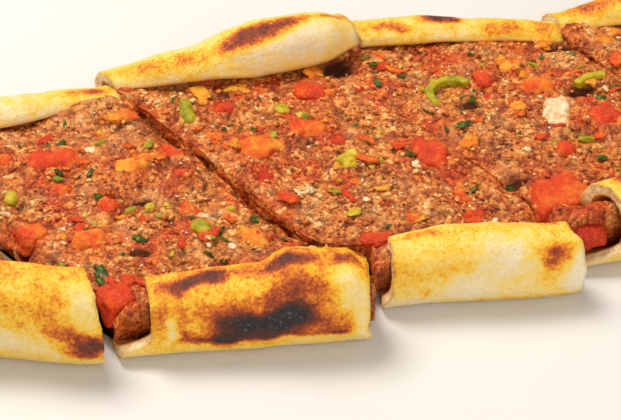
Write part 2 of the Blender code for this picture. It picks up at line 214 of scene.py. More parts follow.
def cut_x(number, share, y, z=0.0):
    """x, at y and z, of the upright surface across the boat at a share of a slice's length."""
    left, right = -LENGTH / 2, LENGTH / 2
    if number > 0:
        cut = CUTS[number - 1]
        gape = cut.front_gape + cut.gape_slant * (y + FRONT_RIM_MIDDLE)
        gape = gape * ease_between(JUMP_FRONT, -y) * ease_between(GAPE_RISE, z)
        left = knife_line(cut, y) + half_gap(y) + gape
    if number < SLICES - 1:
        right = knife_line(CUTS[number], y) - half_gap(y)
    return left + (right - left) * share


def edges(number, share):
    """The y of the front and of the back edge of a slice, on the lines across it at shares."""
    cut = CUT_SLICES[number]
    front_out = smooth_between(cut.front_out, share)
    back_out = smooth_between(cut.back_out, share)
    front = np.full(np.shape(share), -WIDTH / 2)
    back = -front
    for _ in range(12):
        front = -half_width(cut_x(number, share, front)) - front_out
        back = half_width(cut_x(number, share, back)) + back_out
    return front, back


def oval_point(width, height, wall, angle):
    """(inward, up) on a rim's rounded outline, wall deep under its skin."""
    across, up = np.cos(angle), np.sin(angle)
    power = 2 / np.where(up < 0, RIM_BOTTOM_POWER, RIM_TOP_POWER)
    inward = width / 2 - np.sign(across) * np.abs(across) ** power * (width / 2 - wall)
    return inward, height / 2 + np.sign(up) * np.abs(up) ** power * (height / 2 - wall)


def rim_size(height, room):
    """(width, wall) of a rim of that height, in a boat with that half width."""
    width = np.minimum(RIM_RATIO * height, RIM_CLOSES * room)
    return width, np.minimum(WALL, WALL_SHARE * width)


def lip_angle(height, wall):
    """Where the fold ends: it comes down to the meat if the rim is tall enough."""
    reach = (MEAT_TOP + 2 * MEAT_CLEARANCE + wall / 3 - height / 2) / (height / 2 - wall)
    bounded = np.clip(reach, 0.0, 1.0)
    return np.clip(math.pi - np.arcsin(bounded ** (RIM_TOP_POWER / 2)), LIP_LEAST, LIP_MOST)


def pocket_ceiling(inward, height, width, wall):
    """The underside of the fold, over a point that far in from the rim's outside."""
    offset = np.clip(np.abs(inward - width / 2) / (width / 2 - wall), 0.0, 1.0)
    return height / 2 + (height / 2 - wall) * (1 - offset**RIM_TOP_POWER) ** (1 / RIM_TOP_POWER)


# --- noise, worked out for arrays of points ---


def hashed(cells, seed):
    """A repeatable number from 0 to 1 for each row of three whole numbers."""
    mixed = cells[..., 0] * 73856093 ^ cells[..., 1] * 19349663 ^ cells[..., 2] * 83492791 ^ seed * 2654435761
    mixed = (mixed ^ (mixed >> 13)) * 1274126177 & 0xFFFFFFFF
    mixed = (mixed ^ (mixed >> 16)) * 2246822519 & 0xFFFFFFFF
    return ((mixed ^ (mixed >> 15)) & 0xFFFFFF) / 0x1000000


def value_noise(points, seed):
    """Smooth noise from -1 to 1, with features one unit across."""
    cell = np.floor(points).astype(np.int64)
    part = ease(points - cell)
    total = np.zeros(points.shape[:-1])
    for corner in np.ndindex(2, 2, 2):
        weight = np.prod(np.where(corner, part, 1 - part), axis=-1)
        total += weight * hashed(cell + corner, seed)
    return 2 * total - 1


def layered_noise(points, seed, layers=3):
    """Noise with finer and finer detail, from about -1 to 1."""
    total, reach = np.zeros(points.shape[:-1]), 0.0
    for layer in range(layers):
        total += value_noise(points * 2.03**layer, seed + layer) * 0.5**layer
        reach += 0.5**layer
    return total / reach


def cell_noise(points, seed):
    """(distance to the nearest of many scattered points, distance to the next, a number for the nearest)."""
    cell = np.floor(points).astype(np.int64)
    nearest = np.full(points.shape[:-1], 9.0)
    second = nearest.copy()
    label = np.zeros(points.shape[:-1])
    for step in np.ndindex(3, 3, 3):
        other = cell + (np.array(step) - 1)
        place = other + np.stack([hashed(other, seed + n) for n in range(3)], axis=-1)
        distance = np.linalg.norm(points - place, axis=-1)
        closer = distance < nearest
        second = np.where(closer, nearest, np.minimum(second, distance))
        label = np.where(closer, hashed(other, seed + 3), label)
        nearest = np.where(closer, distance, nearest)
    return nearest, second, label


# --- meshes ---


def grid_faces(index):
    """The quads between neighbouring entries of a table of point numbers."""
    quads = np.stack([index[:-1, :-1], index[1:, :-1], index[1:, 1:], index[:-1, 1:]], axis=-1)
    return quads.reshape(-1, 4).tolist()


def linked(name, data):
    """A new object in the scene."""
    made = bpy.data.objects.new(name, data)
    bpy.context.scene.collection.objects.link(made)
    return made


class Mesh:
    """The points, faces and attribute values of an object that is put together patch by patch."""

    def __init__(self):
        self.points = []
        self.faces = []
        self.values = {}
        self.total = 0

    def add(self, points, **values):
        """Adds a table of points in millimetres with their values, and returns the table of their numbers."""
        index = self.total + np.arange(points.size // 3).reshape(points.shape[:-1])
        self.total += index.size
        self.points.append(points.reshape(-1, 3))
        for label, value in values.items():
            self.values.setdefault(label, []).append(np.broadcast_to(value, index.shape).ravel())
        return index

    def join(self, index):
        """Adds the quads of a table of point numbers."""
        self.faces += grid_faces(index)

    def close(self, *numbers):
        """Adds one face with those corners."""
        self.faces.append([int(number) for number in numbers])

    def piece(self, name, material):
        """The smooth object, in the frame and inside the box of the CAD model."""
        placed = (np.concatenate(self.points) - (0.0, MIDDLE_Y, 0.0)) * MM
        data = bpy.data.meshes.new(name)
        data.from_pydata(np.clip(placed, np.array(cad_low), np.array(cad_high)).tolist(), [], self.faces)
        solid = bmesh.new()
        solid.from_mesh(data)
        bmesh.ops.recalc_face_normals(solid, faces=solid.faces[:])
        solid.to_mesh(data)
        solid.free()
        for label, parts in self.values.items():
            values = np.concatenate(parts).astype(np.float32)
            data.attributes.new(label, "FLOAT", "POINT").data.foreach_set("value", values)
        data.materials.append(material)
        data.shade_smooth()
        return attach(linked(name, data), BODY)


# --- materials ---


def srgb(red, green, blue):
    """A colour given from 0 to 255 as the eye sees it, as the linear colour that a shader takes."""
    channels = [c / 255 for c in (red, green, blue)]
    linear = [c / 12.92 if c <= 0.04045 else ((c + 0.055) / 1.055) ** 2.4 for c in channels]
    return (*linear, 1.0)


class Shader:
    """Builds a node material, with a few short ways to add and join nodes."""

    def __init__(self, name):
        self.material = bpy.data.materials.new(name)
        self.material.use_nodes = True
        self.tree = self.material.node_tree
        self.surface = self.tree.nodes["Principled BSDF"]
        self.place = self.tree.nodes.new("ShaderNodeTexCoord").outputs["Object"]

    def node(self, kind, settings=None, **inputs):
        """A new node. An underscore in the name of an input stands for a space."""
        made = self.tree.nodes.new(kind)
        for key, value in (settings or {}).items():
            setattr(made, key, value)
        for key, value in inputs.items():
            self.put(made.inputs[key.replace("_", " ")], value)
        return made

    def put(self, socket, value):
        """Joins another node's output to a socket, or gives the socket a plain value."""
        if isinstance(value, bpy.types.NodeSocket):
            self.tree.links.new(value, socket)
        else:
            socket.default_value = value

    def noise(self, size_mm, detail=3.0, roughness=0.55):
        """Noise from 0 to 1 with features of that size."""
        fineness = {"Scale": 1 / (size_mm * MM), "Detail": detail, "Roughness": roughness}
        return self.node("ShaderNodeTexNoise", Vector=self.place, **fineness).outputs["Fac"]

    def cells(self, size_mm):
        """(distance from the middle of a cell of that size, a random number from 0 to 1 for the cell)."""
        made = self.node("ShaderNodeTexVoronoi", Vector=self.place, Scale=1 / (size_mm * MM))
        label = self.node("ShaderNodeSeparateColor", Color=made.outputs["Color"])
        return made.outputs["Distance"], label.outputs["Red"]

    def attribute(self, name):
        """A value that the mesh carries at each point."""
        return self.node("ShaderNodeAttribute", {"attribute_name": name}).outputs["Fac"]

    def math(self, operation, a, b):
        """The result of a math node."""
        made = self.node("ShaderNodeMath", {"operation": operation})
        self.put(made.inputs[0], a)
        self.put(made.inputs[1], b)
        return made.outputs[0]

    def times(self, a, b):
        """a multiplied by b."""
        return self.math("MULTIPLY", a, b)

    def total(self, first, *others):
        """The sum of the values."""
        for other in others:
            first = self.math("ADD", first, other)
        return first

    def swing(self, value, amount=1.0):
        """How far a value from 0 to 1 stands from its middle, times amount."""
        return self.times(self.math("SUBTRACT", value, 0.5), amount)

    def span(self, value, low, high, to_low=0.0, to_high=1.0):
        """value's range from low to high, turned into another range and kept inside it."""
        limits = {"From_Min": low, "From_Max": high, "To_Min": to_low, "To_Max": to_high}
        return self.node("ShaderNodeMapRange", Value=value, **limits).outputs["Result"]

    def ramp(self, value, *stops):
        """A colour that runs with value from stop to stop, each a place and the colour there."""
        made = self.node("ShaderNodeValToRGB", Fac=value)
        elements = made.color_ramp.elements
        while len(elements) < len(stops):
            elements.new(0.5)
        for element, (place, *colour) in zip(elements, stops):
            element.position = place
            element.color = srgb(*colour)
        return made.outputs["Color"]

    def mix(self, factor, a, b):
        """The colour a where the factor is 0, and b where it is 1."""
        made = self.node("ShaderNodeMix", {"data_type": "RGBA"})
        self.put(made.inputs[0], factor)
        self.put(made.inputs[6], a)
        self.put(made.inputs[7], b)
        return made.outputs[2]

    def bump(self, height, distance_mm, strength):
        """Gives the surface a fine relief."""
        made = self.node("ShaderNodeBump", Height=height, Distance=distance_mm * MM, Strength=strength)
        self.put(self.surface.inputs["Normal"], made.outputs["Normal"])

    def finish(self, colour, roughness, **fixed):
        """The material, with its colour, its roughness and the surface's other inputs."""
        self.put(self.surface.inputs["Base Color"], colour)
        self.put(self.surface.inputs["Roughness"], roughness)
        for key, value in fixed.items():
            self.surface.inputs[key.replace("_", " ")].default_value = value
        return self.material


def crust_material():
    """Baked dough: cream to golden, brown and charred by its browning, with open crumb where it is cut."""
    shader = Shader("crust")
    speckle = shader.noise(0.8, 4.0, 0.8)
    mottle = shader.swing(shader.noise(3.4, 5.0, 0.66), 0.46)
    level = shader.total(shader.attribute("browning"), mottle, shader.swing(speckle, 0.62))
    baked = shader.ramp(
        level,
        (0.00, 240, 224, 192), (0.20, 238, 214, 160), (0.34, 245, 206, 94), (0.45, 244, 184, 22),
        (0.55, 228, 126, 10), (0.67, 168, 62, 6), (0.80, 98, 36, 12), (1.00, 32, 25, 24),
    )
    ash = shader.times(shader.span(level, 0.95, 1.2), shader.span(shader.noise(0.8, 2.0), 0.58, 0.7))
    baked = shader.mix(shader.times(ash, 0.6), baked, srgb(120, 112, 110))
    freckles = shader.times(shader.span(shader.noise(0.6, 2.0), 0.66, 0.74), 0.55)
    baked = shader.mix(freckles, baked, srgb(176, 96, 30))
    pores = shader.span(shader.noise(1.3, 3.0, 0.6), 0.32, 0.6)
    crumb = shader.mix(pores, srgb(226, 166, 88), srgb(252, 228, 176))
    stain = shader.mix(shader.noise(3.0), srgb(190, 96, 30), srgb(232, 160, 76))
    colour = shader.mix(shader.attribute("crumb"), baked, crumb)
    colour = shader.mix(shader.attribute("stain"), colour, stain)
    shader.bump(shader.total(shader.noise(1.1, 4.0, 0.65), shader.swing(speckle)), 0.5, 0.65)
    roughness = shader.span(shader.noise(1.2), 0.35, 0.65, 0.26, 0.62)
    return shader.finish(colour, roughness, Specular_IOR_Level=0.38)


def meat_material():
    """Baked minced meat: tan to red brown crumbs, with painted shade in the gaps between them, red where
    there is juice, oily.
    """
    shader = Shader("minced_meat")
    fine = shader.noise(0.32, 2.0, 0.6)
    from_middle, crumb = shader.cells(0.95)
    grain = shader.cells(0.5)[1]
    gap = shader.attribute("gap")
    swings = [shader.swing(fine, 0.55), shader.swing(crumb, 0.42), shader.swing(grain, 0.3)]
    tone = shader.total(shader.attribute("tone"), *swings)
    cooked = shader.ramp(
        tone,
        (0.00, 82, 30, 8), (0.20, 144, 62, 16), (0.42, 198, 98, 30), (0.62, 222, 132, 54),
        (0.82, 238, 170, 86), (1.00, 252, 216, 152),
    )
    red = shader.ramp(
        tone,
        (0.0, 116, 24, 4), (0.3, 186, 52, 8), (0.6, 222, 82, 16), (0.85, 238, 128, 36), (1.0, 248, 186, 98),
    )
    pale = shader.times(shader.span(shader.noise(8.0, 2.0), 0.52, 0.66), 0.4)
    colour = shader.mix(pale, cooked, srgb(224, 158, 102))
    colour = shader.mix(shader.attribute("juice"), colour, red)
    # Painted shade: dark brown in the gaps between crumbs, in the hollows and on the lower part of crumbs.
    colour = shader.mix(gap, colour, srgb(60, 22, 8))
    seasoning = shader.span(shader.noise(0.9, 1.0), 0.74, 0.78)
    colour = shader.mix(seasoning, colour, srgb(44, 26, 14))
    shader.bump(shader.math("SUBTRACT", shader.swing(fine), shader.times(from_middle, 0.9)), 0.45, 0.8)
    oily = shader.span(shader.noise(1.4), 0.3, 0.7, 0.26, 0.55)
    return shader.finish(colour, shader.math("MAXIMUM", oily, gap), Specular_IOR_Level=0.32)


# Vegetables let a little light through.
FLESH = {"Subsurface_Weight": 0.08, "Subsurface_Scale": 0.0015}


def tomato_material():
    """Baked tomato: red skin to orange flesh, wet."""
    shader = Shader("tomato")
    mottle = shader.swing(shader.noise(2.4, 4.0, 0.65), 1.3)
    colour = shader.ramp(
        shader.total(shader.attribute("ripeness"), mottle),
        (0.00, 238, 172, 48), (0.25, 236, 124, 26), (0.55, 226, 66, 12), (1.00, 188, 34, 6),
    )
    flesh = shader.times(shader.span(shader.noise(0.7, 3.0, 0.7), 0.56, 0.72), 0.5)
    colour = shader.mix(flesh, colour, srgb(244, 166, 70))
    shader.bump(shader.noise(0.7, 5.0, 0.7), 0.8, 0.8)
    roughness = shader.span(shader.noise(0.9), 0.35, 0.7, 0.16, 0.5)
    return shader.finish(colour, roughness, Specular_IOR_Level=0.35, **FLESH)


def pepper_material():
    """Baked green pepper: yellow green, darker in places, wet."""
    shader = Shader("green_pepper")
    colour = shader.ramp(
        shader.total(shader.attribute("ripeness"), shader.swing(shader.noise(1.8))),
        (0.0, 96, 104, 10), (0.35, 160, 146, 14), (0.7, 206, 174, 28), (1.0, 230, 204, 84),
    )
    shader.bump(shader.noise(0.7, 4.0, 0.65), 0.5, 0.6)
    roughness = shader.span(shader.noise(1.0), 0.35, 0.65, 0.2, 0.5)
    return shader.finish(colour, roughness, Specular_IOR_Level=0.3, **FLESH)


def onion_material():
    """Soft baked onion: pale and wet, with a warm stain."""
    shader = Shader("onion")
    veins = shader.noise(1.5, 3.0, 0.6)
    colour = shader.ramp(veins, (0.3, 208, 142, 80), (0.5, 232, 192, 142), (0.75, 244, 224, 192))
    shader.bump(veins, 0.2, 0.4)
    return shader.finish(colour, 0.34, Specular_IOR_Level=0.4, Subsurface_Weight=0.2, Subsurface_Scale=0.002)


def herb_material():
    """Chopped parsley: dark green leaf with paler veins."""
    shader = Shader("parsley")
    colour = shader.ramp(shader.noise(1.2), (0.3, 30, 44, 6), (0.55, 66, 86, 14), (0.8, 128, 136, 36))
    shader.bump(shader.noise(0.5, 2.0), 0.1, 0.5)
    return shader.finish(colour, 0.45, Specular_IOR_Level=0.25)


def fat_and_glint_material():
    """Flecks of fat and soft onion, cream white and wet, which also stand in for painted glints of oil."""
    shader = Shader("fat_flecks")
    colour = shader.mix(shader.noise(1.0, 2.0), srgb(236, 196, 140), srgb(252, 240, 216))
    shader.bump(shader.noise(0.4, 2.0), 0.1, 0.4)
    return shader.finish(colour, 0.35, Subsurface_Weight=0.15, Subsurface_Scale=0.001)


def plain_material(name, size_mm, dark, light, roughness):
    """Two colours, mixed by noise of that size."""
    shader = Shader(name)
    return shader.finish(shader.mix(shader.noise(size_mm), srgb(*dark), srgb(*light)), roughness)


# --- bread ---

# Where the crust took colour, by slice and rim: the share along the rim, the angle round it in degrees (-90
# underneath, 0 outermost, 90 on the crest), the spot's length and width in millimetres, and how much darker
# than the dough round it. A spot below 0 stayed pale.
Spot = namedtuple("Spot", "share angle length width level")
SPOTS = {
    (2, FRONT): (
        Spot(0.96, 45, 7, 10.0, -0.16), Spot(0.93, -10, 8, 4.0, 0.42), Spot(0.86, 9, 8, 3.0, 0.20),
        Spot(0.55, -9, 22, 4.2, -0.26),
    ),
    (3, FRONT): (
        Spot(0.14, 77, 10, 3.8, 0.32), Spot(0.27, 88, 11, 3.2, 0.34), Spot(0.64, 86, 12, 3.4, 0.32),
        Spot(0.50, 14, 38, 12.0, 0.10), Spot(0.90, 88, 6, 2.2, 0.20), Spot(0.66, 38, 16, 7.0, 0.18),
        Spot(0.59, 6, 17, 4.0, 0.66), Spot(0.38, 1, 11, 5.0, 0.40), Spot(0.33, 30, 9, 3.0, 0.12),
        Spot(0.10, 8, 8, 8.0, 0.16), Spot(0.10, 2, 4, 4.6, -0.40), Spot(0.24, -12, 12, 1.6, 0.30),
        Spot(0.66, -13, 30, 1.2, 0.24), Spot(0.84, -5, 9, 3.6, 0.30), Spot(0.45, 60, 14, 4.0, -0.12),
        Spot(0.92, 42, 10, 8.0, -0.20), Spot(0.95, -8, 4, 4.0, -0.16),
    ),
    (3, BACK): (
        Spot(0.90, 96, 9, 2.4, 0.27), Spot(0.86, 104, 26, 9.0, 0.12),
    ),
    (4, FRONT): (
        Spot(0.84, 33, 9, 4.4, 0.26), Spot(0.90, 52, 8, 2.4, 0.14), Spot(0.14, 100, 16, 2.0, 0.14),
        Spot(0.89, 112, 8, 2.4, 0.16), Spot(0.60, 33, 15, 6.0, -0.16), Spot(0.42, -6, 15, 4.0, -0.20),
        Spot(0.96, 4, 8, 7.0, -0.32), Spot(0.10, 26, 12, 7.0, 0.08), Spot(0.75, -40, 40, 2.2, 0.26),
        Spot(0.20, -13, 2, 3.4, 0.16),
    ),
    (4, BACK): (
        Spot(0.22, 104, 24, 4.0, 0.16), Spot(0.57, 106, 15, 4.2, 0.46), Spot(0.72, 90, 12, 3.0, 0.34),
        Spot(0.74, 135, 20, 5.0, -0.14), Spot(0.92, 92, 8, 2.0, 0.26),
    ),
    (5, BACK): (
        Spot(0.43, 84, 11, 3.4, 0.46), Spot(0.18, 108, 10, 2.6, 0.20), Spot(0.72, 118, 14, 3.0, 0.18),
        Spot(0.92, 100, 8, 4.0, 0.16),
    ),
}
# The other rims have a few strewn spots, with each of those values between two limits.
STREWN_SPOT = Spot((0.08, 0.92), (0, 110), (7, 20), (3, 7), (-0.15, 0.5))
SPOTS_PER_RIM = 5
SPOT_SEED = 5
SPOT_FADE = 0.8
SPOT_EDGE = 1.5
SPOT_WOBBLE_SIZE = 4.5
SPOT_WOBBLES = (2.0, 1.2)

# The browning of each slice's front and back rim before their spots.
RIM_BROWNING = (
    (0.42, 0.40), (0.45, 0.34), (0.44, 0.26), (0.36, 0.28), (0.38, 0.34), (0.40, 0.38), (0.42, 0.42),
)
# How the browning changes over the crust, whose foot is paler and whose crest is darker.
MOTTLE_SIZE, MOTTLE = 9.0, 0.10
FOOT_ANGLES, FOOT_PALENESS = (20, -50), 0.16
CREST_ANGLE, CREST_SPREAD, CREST_BROWNING = 95, 22, 0.05
UNDER_ANGLES = (-60, -85)
UNDER_BROWNING, UNDER_MOTTLE, UNDER_MOTTLE_SIZE = 0.36, 0.22, 7.0
LINING_BROWNING = 0.4
CUT_BROWNING = 0.6
LIP_STAIN = 0.25
# The skin's relief, which fades out towards the flat underside.
LUMP_SIZE, LUMP_HEIGHT = 15.0, 0.55
BLISTER_SIZE, BLISTER_REACH, BLISTER_HEIGHT = 6.5, 0.75, 0.55
BLISTER_BEND, BLISTER_BEND_SIZE = 0.15, 3
WRINKLE_SIZE, WRINKLE_HEIGHT = np.array([9.0, 1.9, 1.9]), 0.22
GRAIN_SIZE, GRAIN_HEIGHT = 0.95, 0.06
RELIEF_SUNK = 0.45
RELIEF_ANGLES = (-50, 10)
# The pores and the relief of a cut through the dough, and how high its crusty foot reaches.
PORE_SIZE, PORE_REACH, PORE_DEPTH = 1.5, 0.55, 0.9
CUT_RELIEF_SIZE, CUT_RELIEF = 3.0, 0.18
CUT_CRUST, CUT_CRUST_FADE = 0.7, 0.8


def rim_spots(number, side):
    """The spots of one rim: those placed for it, or a few strewn ones."""
    if (number, side) in SPOTS:
        return SPOTS[number, side]
    rng = random.Random(SPOT_SEED + 10 * number + side)
    return [Spot(*(rng.uniform(*limits) for limits in STREWN_SPOT)) for _ in range(SPOTS_PER_RIM)]


def browning(number, side, share, angle, points):
    """How dark the crust is on one rim, at points with that share and angle."""
    arc = RIM_RATIO * np.radians(smooth_between(CUT_SLICES[number - 1][side], share))
    wobble = [SPOT_WOBBLES[n] * layered_noise(points / SPOT_WOBBLE_SIZE, 31 + n) for n in range(2)]
    level = RIM_BROWNING[number - 1][side] + MOTTLE * layered_noise(points / MOTTLE_SIZE, 41)
    level = level - FOOT_PALENESS * ease_between(FOOT_ANGLES, angle)
    level = level + CREST_BROWNING * bell((angle - CREST_ANGLE) / CREST_SPREAD)
    for spot in rim_spots(number, side):
        along = (share - spot.share) * SLICE_LENGTH + wobble[0]
        around = (angle - spot.angle) * arc / 2 + wobble[1]
        distance = (2 * along / spot.length) ** 2 + (2 * around / spot.width) ** 2
        level = level + spot.level * np.exp(-SPOT_FADE * distance**SPOT_EDGE)
    return level


def skin_browning(number, share, angle, skin):
    """How dark the crust is all over a slice's skin."""
    spread = np.broadcast_to(share, angle.shape)
    levels = [browning(number + 1, side, spread, angle, skin) for side in (FRONT, BACK)]
    columns = np.arange(angle.shape[1])
    level = np.where(columns < len(columns) / 2, levels[FRONT], levels[BACK])
    under = ease_between(UNDER_ANGLES, angle)
    under_level = UNDER_BROWNING + UNDER_MOTTLE * layered_noise(skin / UNDER_MOTTLE_SIZE, 51)
    return level * (1 - under) + under * under_level


def rims(number, share, front, back):
    """(height, width, wall) of a slice's front rim and of its back rim."""
    cut = CUT_SLICES[number]
    heights = [smooth_between(knots, share) for knots in (cut.front, cut.back)]
    return [(height, *rim_size(height, (back - front) / 2)) for height in heights]


def across_slice(number, share, y, z):
    """Points at y and z on the lines across a slice at shares."""
    return np.stack([cut_x(number, share, y, z), y, z], axis=-1)


def bread_rings(number):
    """(share, skin, lining, both lips, angle round the rim) of a slice's bread, on rings across the slice."""
    count = int(SLICE_LENGTH / RING_STEP)
    share = np.linspace(0, 1, count)[:, None]
    front, back = edges(number, share)
    sides = rims(number, share, front, back)
    turn = np.linspace(0, 1, RIM_POINTS)[None, :]
    between = np.linspace(0, 1, BASE_POINTS + 2)[None, 1:-1]
    angles = [-math.pi / 2 + (lip_angle(height, wall) + math.pi / 2) * turn for height, _, wall in sides]
    layers = []
    for depth in (0, 1):
        (front_in, front_up), (back_in, back_up) = [
            oval_point(width, height, wall * depth, angle)
            for (height, width, wall), angle in zip(sides, angles)
        ]
        start, end = front + front_in[:, :1], back - back_in[:, :1]
        level = front_up[:, :1] * np.ones_like(between)
        y = np.hstack([(front + front_in)[:, ::-1], start + (end - start) * between, back - back_in])
        z = np.hstack([front_up[:, ::-1], level, back_up])
        layers.append(across_slice(number, share, y, z))
    lips = []
    for side, (height, width, wall) in enumerate(sides):
        lip = []
        for depth, round_share in LIP_POINTS:
            end = lip_angle(height, wall) + LIP_ROUND * round_share
            inward, up = oval_point(width, height, wall * depth, end)
            lip.append(across_slice(number, share, front + inward if side == FRONT else back - inward, up))
        lips.append(np.concatenate(lip, axis=1))
    front_angle, back_angle = [np.degrees(angle) for angle in angles]
    base_angle = np.full((count, BASE_POINTS), -90.0)
    return share, *layers, lips, np.hstack([front_angle[:, ::-1], base_angle, back_angle])


def crust_relief(points, angle):
    """How far each point of the skin moves along its normal: lumps, soft blisters and fine wrinkles."""
    lumps = layered_noise(points / LUMP_SIZE, 3) * LUMP_HEIGHT
    bend = BLISTER_BEND * layered_noise(points / BLISTER_BEND_SIZE, 9)[..., None]
    blisters = np.maximum(0, BLISTER_REACH - cell_noise(points / BLISTER_SIZE + bend, 13)[0])
    wrinkles = layered_noise(points * (1 / WRINKLE_SIZE), 17) * WRINKLE_HEIGHT
    grain = value_noise(points / GRAIN_SIZE, 23) * GRAIN_HEIGHT
    raised = ease_between(RELIEF_ANGLES, angle)
    return (lumps - RELIEF_SUNK + BLISTER_HEIGHT * blisters + wrinkles) * raised + grain


def torn_ends(number, share, rings):
    """How far x moves inward at the two cut ends of a slice's crust, whose edges aren't quite straight."""
    raised = ease((rings[..., 2] - WALL) / TEAR_RISE)
    depth = np.where(rings[..., 1] < 0, TEAR_FRONT, TEAR_BACK) * raised
    moved = np.zeros(rings.shape[:-1])
    for end, direction, last in ((share, 1.0, 0), (1 - share, -1.0, SLICES - 1)):
        if number != last:
            wave = layered_noise(rings * (0, 1, 1) / TEAR_SIZE + (7.0 * number, 0, 0), 131 + last, 2)
            moved += direction * depth * (0.5 + 0.5 * wave) * (1 - ease(end / TEAR_SHARE))
    return moved


def outward(rings):
    """Unit normals of a table of points, pointing away from the bread."""
    normal = np.cross(np.gradient(rings, axis=0), np.gradient(rings, axis=1))
    return normal / np.maximum(np.linalg.norm(normal, axis=-1, keepdims=True), 1e-9)


def tip_rings(ring, direction):
    """Smaller and smaller rings that round off the pinched end of the boat."""
    middle = ring.mean(axis=0)
    made = []
    for step in range(1, TIP_RINGS + 1):
        turn = TIP_ROUND_ANGLE * step / TIP_RINGS
        shift = TIP_ROUND_LENGTH * math.sin(turn) / math.sin(TIP_ROUND_ANGLE)
        made.append(middle + (ring - middle) * math.cos(turn) + (direction * shift, 0, 0))
    return made


def cut_dough(near, far, inward, seed):
    """Points between a cut's skin and its lining, with the pores of the dough."""
    steps = np.arange(1, CAP_STEPS)[None, :, None] / CAP_STEPS
    inner = near[:, None] + (far - near)[:, None] * steps
    pores = PORE_DEPTH * np.maximum(0, PORE_REACH - cell_noise(inner / PORE_SIZE, seed)[0])
    inner[..., 0] += inward * (pores + CUT_RELIEF * layered_noise(inner / CUT_RELIEF_SIZE, 71))
    return inner


def make_bread(number, material):
    """The bread of a slice: one closed outline of skin, back lip, lining and front lip, and two cut faces."""
    share, skin, lining, lips, angle = bread_rings(number)
    count, across = angle.shape
    skin = skin + outward(skin) * crust_relief(skin, angle)[..., None]
    skin[..., 2] = np.maximum(skin[..., 2], 0.0)
    for rings in (skin, lining, *lips):
        rings[..., 0] += torn_ends(number, share, rings)
    outline = np.concatenate([skin, lips[BACK], lining[:, ::-1], lips[FRONT][:, ::-1]], axis=1)
    level = skin_browning(number, share, angle, skin)
    per_lip = len(LIP_POINTS)
    back_edge, front_edge = [np.repeat(level[:, [column]], per_lip, axis=1) for column in (-1, 0)]
    plain = np.zeros((count, across))
    lip_stain = np.full((count, per_lip), LIP_STAIN)
    tint = np.concatenate([level, back_edge, plain + LINING_BROWNING, front_edge], axis=1)
    stain = np.concatenate([plain, lip_stain, plain + 1, lip_stain], axis=1)
    added = TIP_RINGS * (number == 0), TIP_RINGS * (number == SLICES - 1)
    tint, stain = [np.pad(table, (added, (0, 0)), "edge") for table in (tint, stain)]
    if added[0]:
        outline = np.concatenate([tip_rings(outline[0], -1)[::-1], outline])
    if added[1]:
        outline = np.concatenate([outline, tip_rings(outline[-1], 1)])

    mesh = Mesh()
    index = mesh.add(outline, browning=tint, crumb=0.0, stain=stain)
    mesh.join(np.concatenate([index, index[:, :1]], axis=1))
    lining_end = 2 * across + per_lip
    for row, inward in ((0, 1.0), (len(outline) - 1, -1.0)):
        near, far = outline[row, :across], outline[row, across + per_lip : lining_end][::-1]
        inner = cut_dough(near, far, inward, 61 + row)
        flat = (angle[min(row, count - 1)] == -90.0)[:, None]
        crumb = np.where(flat, ease((inner[..., 2] - CUT_CRUST) / CUT_CRUST_FADE), 1.0)
        inner_index = mesh.add(inner, browning=CUT_BROWNING, crumb=crumb, stain=0.0)
        lining_index = index[row, across + per_lip : lining_end][::-1]
        table = np.concatenate([index[row, :across, None], inner_index, lining_index[:, None]], axis=1)
        mesh.join(table)
        mesh.close(*table[0], *index[row, lining_end:])
        mesh.close(*table[-1], *index[row, across : across + per_lip][::-1])
    made = mesh.piece(f"bread_{number + 1}", material)
    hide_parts(f"slice_{number + 1}_bread")
    return made


# --- meat ---

# Its crumbs: granules on rounder clumps, on broad waves, all a little bent, with fine grit on them.
CLUMP, CLUMP_REACH, CLUMP_HEIGHT = 3.4, 0.95, 0.85
GRANULE, GRANULE_REACH, GRANULE_HEIGHT = 1.45, 0.85, 0.7
DOME_SUNK = 0.6
WAVE, WAVE_HEIGHT = 9.0, 1.0
GRIT_SIZE, GRIT_HEIGHT = 0.8, 0.1
BEND_SIZE, BEND = 1.2, 0.35
ROUGH_SIZE = 5.0
# How dark the painted shade in the gaps between them and at the edges of the clumps is, and how much their
# tones differ.
GAP_WIDTH, GRANULE_GAP_SHADE = 0.16, 0.7
CLUMP_EDGE, CLUMP_EDGE_WIDTH, CLUMP_EDGE_SHADE = 0.55, 0.3, 0.35
MOST_GAP_SHADE = 0.9
LEAST_TONE, GRANULE_TONE, CLUMP_TONE = 0.22, 0.36, 0.24
# Juice: in patches, along the cuts and round the tomatoes.
JUICE_PATCH_SIZE, JUICE_PATCH = 8.0, 0.8
JUICE_FROM, JUICE_RISE = 0.04, 0.34
CUT_JUICE = 0.75
CUT_JUICE_REACH = 6.5
CUT_JUICE_SIZE = 6.0
TOMATO_JUICE = 0.95
JUICE_REACH = 1.5
# The heap of meat against each topping.
BANK_HEIGHT = 1.0
BANK_SPREAD = 0.3
# The hollows: dips in the meat darkened with painted shade, whose outlines are ragged.
HOLLOW_SHADE = 0.93
HOLLOW_SHADE_SPREAD = 1.4
RAGGED_SIZE, RAGGED = 2.2, 0.6
# The meat that shows in the cuts, and the gap that it leaves between two slices.
CUT_FACE_TONE = 1.1
CUT_FACE_JUICE = 0.55
CUT_FACE_RELIEF = 1.4
CUT_FACE_HIGHEST = 0.6
CUT_FACE_SUNK = 0.2
MEAT_GAP = 4.7
WANDER_SIZE = 6
# The meat under the folds, and its underside, which is given a darker tone and painted shade.
FOLD_AIR = 1.2
LEAST_FOLD_AIR = 0.2
FOLD_EDGE = 0.2
FOLD_FILLS_BY = 0.14
FOLD_COLUMNS = 20
THINNEST_MEAT = 0.4
SOLE_TONE = 0.3
SOLE_SHADE = 0.3
# Small bits lie this far from the rims.
SHOWN_MARGIN = 0.5
